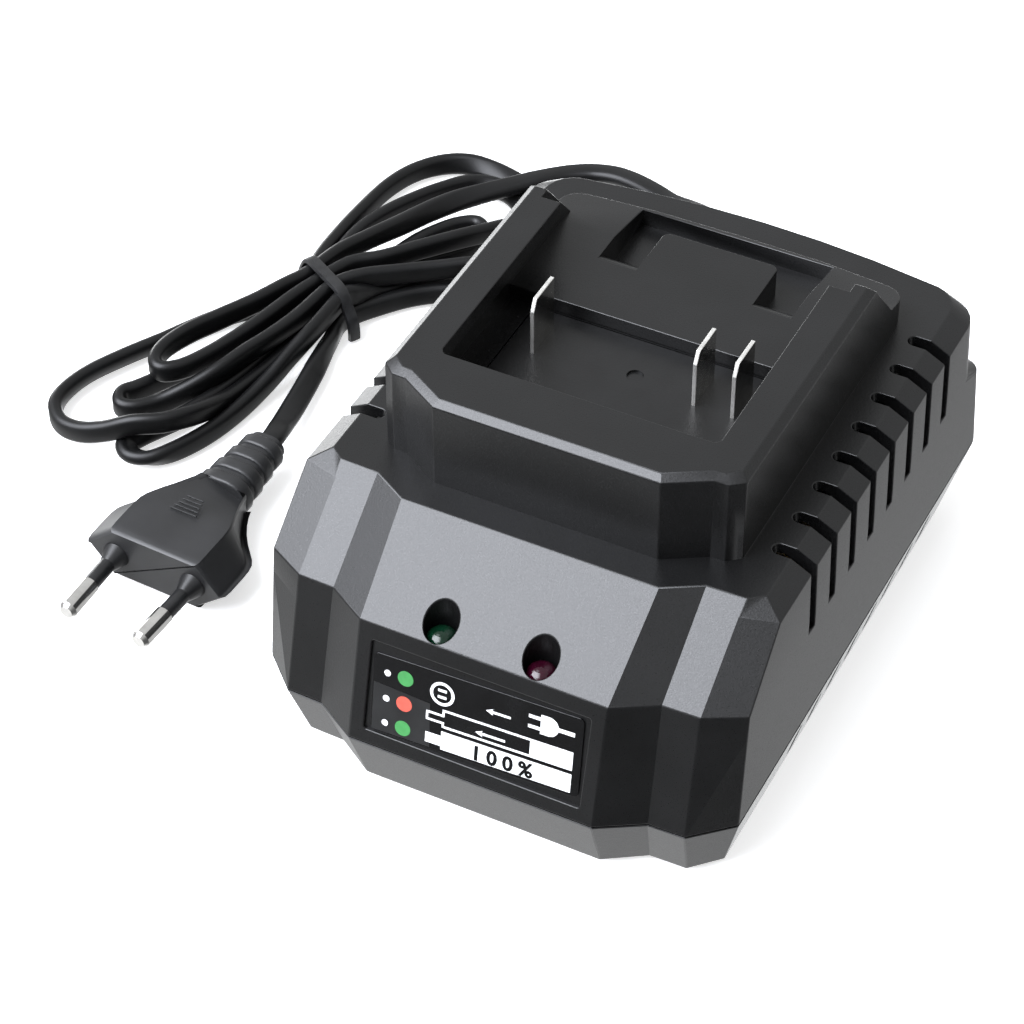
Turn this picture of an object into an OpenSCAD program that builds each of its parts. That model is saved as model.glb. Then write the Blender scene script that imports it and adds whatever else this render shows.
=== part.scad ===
// Slide-on battery charger: two-shell body, battery dock with blade terminals, mains lead and plug.
// Origin: middle of the body's base on the surface it stands on. +Z is up, the front faces -Y.
// Most modules draw with y = 0 at the body's front and are moved back by place().

/* [Body] */
// Width at the parting line
body_w = 100; // [97:1:103]
// Depth from the front panel to the rear ledge
body_d = 137; // [134:1:141]
// Height of the shoulder deck above the surface
deck_z = 57; // [56:0.5:59]
// Height of the dock's guide rails above the surface
dock_z = 77; // [76:0.5:79]
// Height of the parting line between the shells
split_z = 16.1; // [15:0.1:17]
// Wall thickness of both shells
wall = 2.4; // [2:0.1:2.8]

/* [Dock] */
// Gap between the lips of the two guide rails
dock_gap = 57.4; // [56:0.2:58]
// Width between the rails' inner walls, under the lips
dock_slot = 66; // [65:0.2:67]
// Thickness of the rail lips
lip_t = 3.7; // [3:0.1:4.2]
// Offset of the two outer blades from the middle
blade_x = 21.3; // [20.5:0.1:22]
// Offset of the signal blade from the middle
signal_x = 13.2; // [12:0.1:14]
// Thickness of the blades
blade_t = 0.9; // [0.7:0.1:1.2]

/* [Vents] */
// Number of vent slots down each side
vent_count = 8; // [4:1:8]
// Spacing of the vent slots
vent_pitch = 9.52; // [9:0.1:10]
// Width of one vent slot
vent_w = 2.8; // [2:0.1:3.2]

/* [Indicators and label] */
// Offset of each indicator well from the middle
led_x = 10.35; // [9:0.1:11.5]
// Diameter of the indicator wells
led_well_d = 6.8; // [6.7:0.1:7.2]
// Width of the label
label_w = 43.8; // [41:0.2:44]
// Height of the label along the panel
label_h = 17.4; // [16:0.2:17.6]

/* [Mains lead] */
// Width of the flat two-core lead
lead_w = 5.2; // [4.8:0.1:5.4]
// Thickness of the flat two-core lead
lead_t = 3.2; // [3:0.1:3.4]
// Length of the strain relief outside the body
relief_len = 28; // [24:1:32]
// Diameter of the plug's pins
pin_d = 4; // [4:0.1:4.1]
// Length of the plug's pins
pin_len = 19; // [18:0.5:19]

/* [Hidden] */
$fn = 48;

black = [0.13, 0.13, 0.14];
grey = [0.24, 0.24, 0.25];
nickel = [0.75, 0.74, 0.70];

foot_h = 1.5;
joint_gap = 0.15;
eps = 0.01;
half_w = body_w / 2;
half_gap = dock_gap / 2;
half_slot = dock_slot / 2;

module place() translate([0, -body_d / 2, 0]) children();
module both_sides() {
    children();
    mirror([1, 0, 0]) children();
}

// ---- outlines of the body ----------------------------------------------------------------
// A section lists: half width of the central facet, of the slanted strips, of the narrow
// facets and of the body; distance of the central facet, the narrow facets and the side's
// front corner from the front; distance of the rear; rear corner radius; bow of the rear.
facet_lean = 0.2;
section_foot = [25.2, 33.2, 40.8, half_w - 3.8, 5.3, 10.5, 16.2, body_d - 5, 6, 2];
section_split = [25.8, 34.8, 42.3, half_w, 0, 5.4, 12.8, body_d, 3.2, 1];
section_kink = [25.7, 34.2, 41.8, half_w - 0.3, 6.2, 11.2, 15.6, body_d - 3.4, 7.6, 3];
section_deck = [26.6, 34.1, 42.2, half_w - 4.9, 25.2, 29.6, 32.1, body_d - 4.4, 7, 3.2];
section_shoulder = [26.5, 34.1, 42.1, half_w - 0.7, 22.2, 26.7, 28.9, body_d - 3.8, 7.6, 3.2];

kink_z = 42.4;
shoulder_z = deck_z - 2.3;
ledge_z = 37;
ledge_r = 4;
step_z = 39.5;

function mix(a, b, t) = a + (b - a) * t;
function at_height(z) = mix(section_split, section_kink, (z - split_z) / (kink_z - split_z));
function with_rear(s, rear, r) = [for (i = [0:len(s) - 1]) i == 7 ? rear : i == 8 ? r : s[i]];

// How each entry of a section moves when the outline shrinks by 1
inset = [-0.4, -0.4, -0.9, -1, 1, 1, 0.6, -1, -0.8, 0];
function inner(s, d = wall) = [for (i = [0:len(s) - 1]) s[i] + inset[i] * d];

// Closed outline of a section, front right corner first, to the right and round the back
function outline(s) =
    let (w = s[3], rear = s[7], r = s[8], bow = s[9])
    let (corner = [for (a = [0:15:90]) [w - r + r * cos(a), rear - bow - r + r * sin(a)]])
    let (back = [for (t = [2 / 3, 1 / 3]) [(w - r) * t, rear - bow * t * t]])
    let (front = [[s[0], s[4]], [s[1], s[5]], [s[2], s[5] + facet_lean], [w, s[6]]])
    let (right = concat(front, corner, back))
    concat(right, [[0, rear]], [for (i = [len(right) - 1:-1:0]) [-right[i][0], right[i][1]]]);

// Solid through outlines of equal length, one above the other, each with its rear point in the middle
module loft(outlines, heights) {
    n = len(outlines[0]);
    half = (n - 1) / 2;
    last = len(outlines) - 1;
    points = [for (k = [0:last]) for (p = outlines[k]) [p[0], p[1], heights[k]]];
    walls = [for (k = [0:last - 1]) for (i = [0:n - 1])
        let (a = k * n + i, b = k * n + (i + 1) % n)
        each i < half ? [[a, a + n, b + n], [a, b + n, b]] : [[a, a + n, b], [b, a + n, b + n]]];
    base = [for (i = [0:half - 1]) i < half - 1 ? [i, i + 1, n - 2 - i, n - 1 - i] : [i, i + 1, i + 2]];
    top = [for (f = base) [for (i = [len(f) - 1:-1:0]) f[i] + last * n]];
    polyhedron(points, concat(base, top, walls));
}

module upper_outside() {
    s_ledge = with_rear(at_height(ledge_z), body_d - 0.6, ledge_r);
    s_step = with_rear(at_height(step_z), body_d - 3.1, section_kink[8]);
    loft([for (s = [at_height(split_z + joint_gap), s_ledge, s_step, section_kink,
                    section_shoulder, section_deck]) outline(s)],
         [split_z + joint_gap, ledge_z, step_z, kink_z, shoulder_z, deck_z]);
}

module upper_inside() {
    low_z = split_z - 1;
    bend_z = kink_z - wall;
    s_low = with_rear(at_height(low_z), body_d, section_split[8]);
    s_ledge = with_rear(at_height(ledge_z - wall), body_d - 0.6, ledge_r);
    s_step = with_rear(at_height(step_z - wall), body_d - 3.1, section_kink[8]);
    s_bend = with_rear(at_height(bend_z), section_kink[7], section_kink[8]);
    loft([for (s = [s_low, s_ledge, s_step, s_bend, section_shoulder, section_deck]) outline(inner(s))],
         [low_z, ledge_z - wall, step_z - wall, bend_z, shoulder_z - wall, deck_z - wall]);
}

// ---- dock --------------------------------------------------------------------------------
dock_side = 37.2;
dock_front = 31.8;
dock_rear = 120.6;
dock_edge = 1.2;
dock_inset = 1.6;
mouth_r = 1.5;
rim_z = deck_z + 5;
dock_floor_z = deck_z + 7.8;
plate_z = deck_z + 4.5;
plate_t = 2;
plate_half_w = 27;
plate_front = 47;
plate_rear = 82;
plate_gap = 0.3;
opening_front = 45.2;
slot_front = 48.2;
step_y = 82.4;
crease_y = 105.5;
lip_end = 96.4;
rail_top_end = 99;
rail_foot_end = 110;
latch_x = 21;
latch_front = 100.4;
latch_rear = 119;
latch_pad_x = 12.5;
latch_pad_rear = 111.4;
latch_pad_r = 1.6;
latch_depth_z = deck_z + 1.4;

// Plan of the dock, shrunk by d, in the same order as outline()
function dock_outline(d = 0) =
    let (c = 23.3 - 0.4 * d, s = 31.6 - 0.4 * d, x = dock_side - d, y = dock_front + d)
    let (corner_r = 5 - d / 2, rear = dock_rear - d)
    let (arc = [for (a = [0:15:90])
        [x - corner_r + corner_r * cos(a), rear - 2 - corner_r + corner_r * sin(a)]])
    let (front = [[c, y], [s, y + 4.9], [x - 2.6, y + 4.9 + facet_lean], [x, y + 7.3]])
    let (right = concat(front, arc, [[x / 2, rear - 0.6]]))
    concat(right, [[0, rear - 0.2]], [for (i = [len(right) - 1:-1:0]) [-right[i][0], right[i][1]]]);
module dock_plan(d = 0) {
    polygon(dock_outline(d));
}

// Height of the lead-in ramp behind the dock floor
function ramp_at(y) = mix(dock_floor_z, rim_z, (y - crease_y) / (dock_rear - crease_y));

// Side view of the dock: full height in front, then rail ends that slope down to the ramp
module dock_side_profile() {
    foot_z = ramp_at(rail_foot_end);
    rotate([90, 0, 90])
        translate([0, 0, -half_w])
            linear_extrude(body_w)
                polygon([[dock_front - 1, deck_z - wall], [dock_front - 1, dock_z], [rail_top_end, dock_z],
                         [rail_foot_end, foot_z], [dock_rear + 1, foot_z], [dock_rear + 1, deck_z - wall]]);
}

module dock_outside() {
    intersection() {
        loft([dock_outline(), dock_outline(), dock_outline(dock_inset)],
             [deck_z - wall, dock_z - dock_edge, dock_z]);
        dock_side_profile();
    }
}

// Room for the battery foot: mouth between the lips, wider slot under them, lead-in ramp behind
module dock_pocket() {
    slot_top = dock_z - lip_t;
    far = body_d;
    translate([0, 0, plate_z]) linear_extrude(dock_z) dock_mouth();
    translate([-half_slot, slot_front, plate_z])
        cube([dock_slot, step_y - slot_front, slot_top - plate_z]);
    translate([-half_gap, step_y - eps, dock_floor_z]) cube([dock_gap, far - step_y, dock_z]);
    translate([-half_slot, step_y - eps, dock_floor_z])
        cube([dock_slot, far - step_y, slot_top - dock_floor_z]);
    translate([-half_slot, lip_end, dock_floor_z]) cube([dock_slot, far - lip_end, dock_z]);
    translate([-half_w, 0, 0])
        rotate([90, 0, 90])
            linear_extrude(body_w)
                polygon([[crease_y, dock_floor_z], [dock_rear, rim_z], [far, rim_z],
                         [far, dock_z], [crease_y, dock_z]]);
}

// Plan of the mouth between the lips, with rounded front corners
module dock_mouth() {
    depth = step_y - opening_front;
    translate([mouth_r - half_gap, opening_front]) square([dock_gap - 2 * mouth_r, depth]);
    translate([-half_gap, opening_front + mouth_r]) square([dock_gap, depth - mouth_r]);
    for (side = [-1, 1]) translate([side * (half_gap - mouth_r), opening_front + mouth_r]) circle(mouth_r);
}

// The pocket cut stays inside the rails' outer walls in front of the sloped rail ends
module dock_cut() {
    intersection() {
        dock_pocket();
        union() {
            translate([-half_slot, 0, 0]) cube([dock_slot, body_d, dock_z + 1]);
            translate([-half_w, rail_foot_end, 0]) cube([body_w, body_d, dock_z + 1]);
        }
    }
}

// Catch recess: deep at the rear, curving up to the dock floor in front
module latch_recess() {
    depth = dock_floor_z - latch_depth_z;
    run = 9;
    front = latch_front - 3;
    slope = [for (t = [0:0.0625:1]) [front + run * t, dock_floor_z - depth * (1 - cos(180 * t)) / 2]];
    box = [[latch_rear, latch_depth_z], [latch_rear, dock_floor_z + 1], [front, dock_floor_z + 1]];
    translate([-latch_x, 0, 0]) rotate([90, 0, 90]) linear_extrude(2 * latch_x) polygon(concat(slope, box));
}

// Pad that stands in the recess, level with the dock floor
module catch_pad() {
    base = latch_depth_z - wall / 2;
    front = latch_front - 4;
    len = latch_pad_rear - front;
    translate([0, front, base]) linear_extrude(dock_floor_z - base) {
        translate([-latch_pad_x, 0]) square([2 * latch_pad_x, len - latch_pad_r]);
        translate([latch_pad_r - latch_pad_x, 0]) square([2 * (latch_pad_x - latch_pad_r), len]);
        for (side = [-1, 1]) translate([side * (latch_pad_x - latch_pad_r), len - latch_pad_r])
            circle(latch_pad_r);
    }
}

// Hollow under the dock floor and inside its front wall, kept clear of the catch recess
module dock_hollow() {
    front = dock_front + wall;
    base = deck_z - 3 * wall;
    difference() {
        intersection() {
            translate([0, 0, base]) linear_extrude(dock_z) dock_plan(wall);
            translate([-half_w, front, base]) union() {
                cube([body_w, dock_rear, plate_z - plate_t - wall - base]);
                cube([body_w, opening_front - wall - front, dock_z - wall - base]);
                translate([0, step_y + wall - front, 0]) cube([body_w, dock_rear, rim_z - wall - base]);
            }
        }
        translate([-latch_x - wall, latch_front - 3 - wall, latch_depth_z - wall])
            cube([2 * (latch_x + wall), body_d, dock_z]);
    }
}

// ---- front panel details -----------------------------------------------------------------
panel_tilt = atan((section_kink[4] - section_split[4]) / (kink_z - split_z));
label_z = 28.85;
label_t = 0.35;
label_turn = 2.2;
recess_z = 29.1;
recess_t = 0.6;
led_y = 9.95;
led_d = 6.2;
led_top = 42.9;
led_dome = 2.3;
led_h = 9.3;
led_board_z = led_top - led_h;
led_board_t = 1.6;
board_boss_y = led_y + 5.5;

// Moves to height z on the lower front panel: x to the right, z up the panel, -y outwards
module on_panel(z) {
    t = (z - split_z) / (kink_z - split_z);
    translate([0, mix(section_split[4], section_kink[4], t), z]) rotate([-panel_tilt, 0, 0]) children();
}

module rounded_plate(w, h, t, r) {
    translate([0, t, 0])
        rotate([90, 0, 0])
            linear_extrude(t)
                union() {
                    square([w - 2 * r, h], center = true);
                    square([w, h - 2 * r], center = true);
                    for (x = [r - w / 2, w / 2 - r]) for (y = [r - h / 2, h / 2 - r])
                        translate([x, y]) circle(r);
                }
}

module indicator_wells(d) {
    both_sides() translate([led_x, led_y, led_board_z]) cylinder(d = d, h = deck_z - led_board_z);
}

// ---- vents -------------------------------------------------------------------------------
vent_y = 44.5;
vent_x = 40.8;
vent_bottom = 39.3;
low_vent_z = 4.6;
low_vent_h = 8;

module vents() {
    r = vent_w / 2;
    both_sides() for (k = [0:vent_count - 1]) translate([0, vent_y + k * vent_pitch, 0]) {
        translate([vent_x + r, -r, vent_bottom]) cube([half_w, vent_w, deck_z]);
        translate([vent_x + r, 0, vent_bottom]) cylinder(r = r, h = deck_z);
    }
}

module low_vents() {
    r = vent_w / 2;
    both_sides() for (k = [0:vent_count - 1]) translate([half_w - 9, vent_y + k * vent_pitch, low_vent_z])
        wall_slot(r, low_vent_h);
}

// Slot through a side wall with round ends, running up from its lower end
module wall_slot(r, h) {
    translate([0, -r, r]) cube([12, 2 * r, h - 2 * r]);
    for (z = [r, h - r]) translate([0, 0, z]) rotate([0, 90, 0]) cylinder(r = r, h = 12);
}

// ---- screw towers ------------------------------------------------------------------------
tower_x = 37.5;
tower_y = [34, 107];
tower_r = 3.6;
screw_r = 1.5;
pilot_r = 1.25;
head_r = 2.9;
board_x = 29;
board_y = [46, 108];
board_z = 11;
board_t = 1.6;
board_front = 41;
board_rear = 113;
board_half_w = 33;
floor_z = foot_h + wall;

module at_towers() {
    for (y = tower_y) both_sides() translate([tower_x, y, 0]) children();
}
module at_board_posts() {
    for (y = board_y) both_sides() translate([board_x, y, 0]) children();
}

// ---- shells ------------------------------------------------------------------------------
gland_x = -28;
gland_z = split_z;
gland_r = 4.6;

module gland_hole(r) {
    translate([gland_x, body_d - 3 * wall, gland_z]) rotate([-90, 0, 0]) cylinder(r = r, h = 6 * wall);
}

module upper_shell() {
    color(black) place() {
        difference() {
            union() {
                difference() {
                    union() {
                        upper_outside();
                        dock_outside();
                    }
                    upper_inside();
                    dock_hollow();
                }
                led_tubes();
                upper_towers();
            }
            dock_cut();
            latch_recess();
            plate_seat();
            vents();
            indicator_wells(led_well_d);
            translate([0, board_boss_y, led_board_z - eps]) cylinder(r = 0.9, h = 7);
            label_recess();
            gland_hole(gland_r);
        }
        catch_pad();
    }
}

module label_recess() {
    on_panel(recess_z) translate([0, -1, 0])
        rounded_plate(label_w + 1.8, label_h + 2.8, recess_t + 1, 0.6);
}

// Seat of the terminal plate, with the window for the blades' tabs
module plate_seat() {
    translate([-plate_half_w - plate_gap, plate_front - plate_gap, plate_z - plate_t])
        cube([2 * (plate_half_w + plate_gap), plate_rear - plate_front + 2 * plate_gap, plate_t + eps]);
    translate([-24, 60, deck_z - wall - 1]) cube([48, 20, plate_z - deck_z + wall]);
}

// Tubes round the indicator wells, and the boss that the indicator board is screwed to
module led_tubes() {
    intersection() {
        union() {
            both_sides() translate([led_x, led_y, led_board_z + 2])
                cylinder(r = led_well_d / 2 + 1.2, h = 12);
            translate([0, board_boss_y, led_board_z]) cylinder(r = 2.6, h = 20);
        }
        upper_outside();
    }
}

// Screw towers hanging from the shoulder deck
module upper_towers() {
    at_towers() translate([0, 0, split_z + joint_gap]) difference() {
        cylinder(r = tower_r, h = deck_z - wall / 2 - split_z);
        translate([0, 0, -eps]) cylinder(r = pilot_r, h = 16);
    }
}

module lower_shell() {
    top = split_z - joint_gap;
    color(black) place() difference() {
        union() {
            difference() {
                loft([outline(section_foot), outline(section_split)], [foot_h, top]);
                loft([outline(inner(section_foot)), outline(inner(section_split))], [floor_z, top + eps]);
                low_vents();
            }
            lower_lip(top);
            at_towers() translate([0, 0, foot_h + 1]) cylinder(r = tower_r + 0.6, h = top - foot_h - 1);
            at_board_posts() translate([0, 0, foot_h + 1]) cylinder(r = 3, h = board_z - foot_h - 1);
            clamp_posts();
            floor_ribs();
        }
        at_towers() translate([0, 0, foot_h - eps]) cylinder(r = screw_r + 0.2, h = top);
        at_towers() translate([0, 0, foot_h - eps]) cylinder(r = head_r + 0.3, h = 6 + eps);
        at_board_posts() translate([0, 0, board_z - 5]) cylinder(r = 1, h = 6);
        at_clamp_posts() translate([0, 0, clamp_z - 6]) cylinder(r = 1, h = 7);
        at_feet() translate([0, 0, foot_h - eps]) cylinder(r = foot_r + 0.1, h = foot_sink);
        bottom_vents();
        gland_hole(gland_r);
    }
}

// Tongue on the lower shell that stands inside the upper shell
module lower_lip(z) {
    lip_h = 1.6;
    seat_h = 2.4;
    difference() {
        union() {
            translate([0, 0, z - seat_h])
                linear_extrude(seat_h) polygon(outline(inner(section_split, wall - 0.3)));
            translate([0, 0, z - eps])
                linear_extrude(lip_h) polygon(outline(inner(at_height(z + lip_h), wall + 0.15)));
        }
        translate([0, 0, z - 2 * seat_h])
            linear_extrude(4 * seat_h) polygon(outline(inner(at_height(z + lip_h), wall + 1.3)));
        translate([gland_x - 8, body_d - 20, 0]) cube([16, 30, 40]);
        at_towers() cylinder(r = tower_r + 0.3, h = 40);
    }
}

// Two ribs along the floor, clear of the board
module floor_ribs() {
    both_sides() translate([14, 18, floor_z - eps]) cube([1.6, 100, 3]);
}

// Five slots in the floor under the board
module bottom_vents() {
    for (i = [-2:2]) translate([-12, 74 + i * 8, foot_h - eps]) cube([24, 2.4, 4]);
}

// ---- terminals ---------------------------------------------------------------------------
blade_y = 69;
blade_len = 8.8;
blade_top = deck_z + 17.3;
blade_cut = 2.6;

module terminal_plate() {
    color(grey) place() difference() {
        translate([-plate_half_w, plate_front, plate_z - plate_t])
            cube([2 * plate_half_w, plate_rear - plate_front, plate_t]);
        translate([-0.5, 72, plate_z - 0.5]) cylinder(d = 3.4, h = 1);
        for (x = [-blade_x, signal_x, blade_x])
            translate([x - blade_t / 2, blade_y, deck_z]) cube([blade_t, blade_len, 10]);
    }
}

// One blade: clipped front corner above the plate, solder tab below it
module blade(x) {
    foot_z = plate_z - plate_t;
    tab_end = plate_z - 8;
    side_view = [[0, foot_z], [0, blade_top - blade_cut], [blade_cut / 2, blade_top], [blade_len, blade_top],
                 [blade_len, foot_z], [blade_len - 2, foot_z], [blade_len - 2, tab_end],
                 [blade_len - 5, tab_end], [blade_len - 5, foot_z]];
    color(nickel) place() translate([x - blade_t / 2, blade_y, 0])
        rotate([90, 0, 90]) linear_extrude(blade_t) polygon(side_view);
}
module terminal_negative() blade(-blade_x);
module terminal_signal() blade(signal_x);
module terminal_positive() blade(blade_x);

// ---- label and indicators ----------------------------------------------------------------
// Printed film, set slightly askew in its recess
module status_label() {
    color([0.05, 0.05, 0.05]) place() on_panel(label_z)
        translate([0, recess_t - label_t, 0])
            rotate([0, -label_turn, 0]) rounded_plate(label_w, label_h, label_t, 1.2);
}

// Round indicator: collar, body, domed top and two legs through its board
module led(x, tint) {
    collar = 1;
    dome_z = led_top - led_dome;
    dome = [for (a = [0:10:90]) [led_d / 2 * cos(a), led_dome * sin(a)]];
    color(tint) place() translate([x, led_y, 0]) {
        translate([0, 0, led_board_z]) cylinder(d = led_d + 0.4, h = collar);
        translate([0, 0, led_board_z]) cylinder(d = led_d, h = dome_z - led_board_z);
        translate([0, 0, dome_z]) rotate_extrude() polygon(concat([[0, 0]], dome));
        for (y = [-1.27, 1.27]) translate([-0.25, y - 0.25, led_board_z - 4]) cube([0.5, 0.5, 4 + eps]);
    }
}
module green_led() led(-led_x, [0.05, 0.4, 0.12]);
module red_led() led(led_x, [0.45, 0.05, 0.06]);

module indicator_board() {
    color([0.1, 0.35, 0.2]) place() difference() {
        translate([-18, led_y - 2.1, led_board_z - led_board_t]) cube([36, 11.5, led_board_t]);
        both_sides() for (y = [-1.27, 1.27])
            translate([led_x - 0.3, led_y + y - 0.3, led_board_z - 3]) cube([0.6, 0.6, 5]);
        translate([0, board_boss_y, led_board_z - 3]) cylinder(r = 1.2, h = 5);
    }
}

// ---- electronics -------------------------------------------------------------------------
top_of_board = board_z + board_t;

module main_board() {
    color([0.55, 0.42, 0.2]) place() difference() {
        translate([-board_half_w, board_front, board_z])
            cube([2 * board_half_w, board_rear - board_front, board_t]);
        at_board_posts() translate([0, 0, board_z - 1]) cylinder(r = 1.6, h = 4);
        at_towers() translate([0, 0, board_z - 1]) cylinder(r = tower_r + 1.2, h = 4);
    }
}

core_w = 30;
core_d = 11;
core_h = 26;
core_y = 74;
core_leg = 6;
leg_half = core_leg / 2 + 1;
bobbin_r = 11;
winding_w = 16.8;

// Two E-shaped ferrite halves round the bobbin
module transformer_core() {
    window = [(core_w - 3 * core_leg) / 2, 2 * core_d, core_h - 2 * core_leg];
    color([0.2, 0.2, 0.22]) place() translate([0, core_y, top_of_board + 1]) difference() {
        translate([-core_w / 2, -core_d / 2, 0]) cube([core_w, core_d, core_h]);
        both_sides() translate([leg_half, -core_d, core_leg]) cube(window);
    }
}

// Bobbin with its taped winding, standing on the board on its pin rails
module transformer_winding() {
    rail_h = core_leg + 1.6;
    winding_h = core_h - 2 * core_leg - 0.8;
    color([0.85, 0.7, 0.2]) place() translate([0, core_y, top_of_board]) difference() {
        union() {
            translate([-winding_w / 2, -bobbin_r, core_leg + 1.4])
                cube([winding_w, 2 * bobbin_r, winding_h]);
            for (y = [-1, 1]) translate([-core_w / 2, y * (core_d / 2 + 2.6) - 2, 0])
                cube([core_w, 4, rail_h]);
        }
        translate([-leg_half, -core_d / 2, -1]) cube([2 * leg_half, core_d, core_h + 4]);
    }
}

// Electrolytic capacitor with its crimped groove
module capacitor(x, y, r, h) {
    translate([x, y, top_of_board]) difference() {
        cylinder(r = r, h = h);
        translate([0, 0, 2]) rotate_extrude() translate([r, 0]) circle(0.5);
    }
}
module bulk_capacitor() {
    color([0.12, 0.12, 0.3]) place() capacitor(13, 100, 9, 26);
}
module output_capacitors() {
    color([0.12, 0.25, 0.2]) place() {
        capacitor(8, 49, 5, 16);
        capacitor(-2, 48, 4, 14);
    }
}

// Common-mode choke: square core with a winding on two sides
module filter_choke() {
    color([0.7, 0.4, 0.15]) place() translate([-10, 100, top_of_board]) {
        difference() {
            translate([-8, -6, 0]) cube([16, 12, 16]);
            translate([-3, -7, 5]) cube([6, 14, 6]);
        }
        for (x = [-5.5, 5.5]) translate([x, 0, 4]) cylinder(r = 5, h = 8);
    }
}

// Glass fuse in two clips
module mains_fuse() {
    color([0.8, 0.8, 0.78]) place() translate([-26, 88, top_of_board]) {
        translate([0, -10, 5]) rotate([-90, 0, 0]) cylinder(r = 2.4, h = 20);
        for (y = [-10, 5]) translate([0, y, 5]) rotate([-90, 0, 0]) cylinder(r = 2.7, h = 5);
        for (y = [-9, 6]) translate([-3, y, 0]) cube([6, 3, 5]);
    }
}

module control_chip() {
    color([0.08, 0.08, 0.09]) place() translate([-14, 50, top_of_board]) {
        translate([-3.2, -5, 0.6]) cube([6.4, 10, 3.2]);
        for (y = [-3.81:2.54:3.81]) for (x = [-3.9, 3.2]) translate([x, y - 0.3, 0]) cube([0.7, 0.6, 2.4]);
    }
}

// Upright finned plate
module heat_sink(x, y, len, h) {
    color([0.7, 0.71, 0.73]) place() translate([x, y, top_of_board]) {
        translate([-1, -len / 2, 0]) cube([2, len, h]);
        for (i = [-1:2:1]) translate([-1, i * (len / 2 - 1) - 1, 0]) cube([5, 2, h]);
    }
}
module switch_heat_sink() heat_sink(26, 80, 30, 28);
module output_heat_sink() heat_sink(-28, 62, 24, 26);

// Three-legged power package on the inner face of its heat sink
module power_package(x, y) {
    color([0.1, 0.1, 0.1]) place() translate([x, y, top_of_board]) {
        translate([-4.6, -5, 5]) cube([4.5, 10, 15]);
        for (i = [-1:1]) translate([-2.6, i * 2.54 - 0.4, 0]) cube([0.6, 0.8, 5 + eps]);
    }
}
module switching_transistor() power_package(25.1, 80);
module output_rectifier() mirror([1, 0, 0]) power_package(27.1, 62);

connector_at = [20, 47];
connector_h = 7;
contact_pitch = 3.2;

module wire_connector() {
    at = [connector_at[0], connector_at[1], top_of_board];
    color([0.9, 0.9, 0.86]) place() translate(at) difference() {
        translate([-6, -3, 0]) cube([12, 6, connector_h]);
        for (i = [-1:1]) translate([i * contact_pitch, 0, 2]) cylinder(r = 0.95, h = connector_h);
    }
}

// ---- wires and the lead ------------------------------------------------------------------
// Smooth curve through hand-set points, n steps between two of them
function blend4(a, b, c, d, t) =
    0.5 * (2 * b + (c - a) * t + (2 * a - 5 * b + 4 * c - d) * t * t
           + (3 * b - a - 3 * c + d) * t * t * t);
function curve(p, n) =
    let (last = len(p) - 1)
    concat([for (i = [0:last - 1]) for (k = [0:n - 1])
        blend4(p[max(i - 1, 0)], p[i], p[i + 1], p[min(i + 2, last)], k / n)], [p[last]]);

// Round tube along a path; ref is any direction the path never runs along
module tube(path, r, sides, ref) {
    last = len(path) - 1;
    along = [for (i = [0:last])
        let (d = path[min(i + 1, last)] - path[max(i - 1, 0)]) d / norm(d)];
    side = [for (t = along) let (s = cross(t, ref)) s / norm(s)];
    rings = [for (i = [0:last]) for (k = [0:sides - 1])
        let (a = 360 * k / sides) path[i] + r * (cos(a) * side[i] + sin(a) * cross(side[i], along[i]))];
    walls = [for (i = [0:last - 1]) for (k = [0:sides - 1])
        let (a = i * sides + k, b = i * sides + (k + 1) % sides)
        each [[a, b, b + sides], [a, b + sides, a + sides]]];
    start = [for (k = [sides - 1:-1:0]) k];
    end = [for (k = [0:sides - 1]) last * sides + k];
    polyhedron(rings, concat([start, end], walls));
}

// Two insulated cores from the lead's sheath to the board
module mains_wires() {
    color([0.45, 0.25, 0.12]) place() translate([gland_x, 0, 0]) for (x = [-1.5, 1.5]) {
        route = [[x, sheath_y, gland_z], [x, 114, gland_z], [1.5 * x, 109, 17.6], [2 * x, 104.6, 17.4],
                 [2 * x, 103.6, 15], [2 * x, 103.6, top_of_board]];
        tube(curve(route, 4), 1.1, 8, [1, 0, 0]);
    }
}

// Three wires from the connector up to the blades' tabs
module blade_wires() {
    tab_y = blade_y + blade_len - 3.5;
    tab_z = plate_z - 8;
    y = connector_at[1];
    color([0.6, 0.1, 0.1]) place() for (w = [[-1, -blade_x], [0, signal_x], [1, blade_x]]) {
        x = connector_at[0] + w[0] * contact_pitch;
        route = [[x, y, top_of_board + 2.5], [x, y, top_of_board + connector_h + 1], [x, y + 1, 28],
                 [mix(x, w[1], 0.4), y + 8, 40 + 2 * w[0]], [w[1], tab_y - 6, 46],
                 [w[1], tab_y, tab_z - 3], [w[1], tab_y, tab_z]];
        tube(curve(route, 4), 0.8, 8, [0.2, 1, -0.3]);
    }
}

// Screw with a domed head at its lower end, thread side upwards
module screw(r, len, head, head_h) {
    cylinder(r = head, h = head_h);
    cylinder(r = r, h = len);
}
module board_screws() {
    color(nickel) place() {
        at_board_posts() translate([0, 0, top_of_board + 1.6])
            mirror([0, 0, 1]) screw(0.95, 6.2, 2.4, 1.6);
        translate([0, board_boss_y, led_board_z - led_board_t - 1.6]) screw(0.85, 7.6, 2.2, 1.6);
    }
}
module housing_screws() {
    color(nickel) place() at_towers() translate([0, 0, foot_h + 3.6])
        screw(pilot_r - 0.02, 22, head_r, 2.4);
}

foot_r = 5;
foot_sink = 0.8;
module at_feet() {
    for (y = [20, 122]) both_sides() translate([y < 60 ? 30 : 34, y, 0]) children();
}
module rubber_feet() {
    color([0.18, 0.18, 0.18]) place() at_feet() cylinder(r = foot_r, h = foot_h + foot_sink - eps);
}

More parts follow.
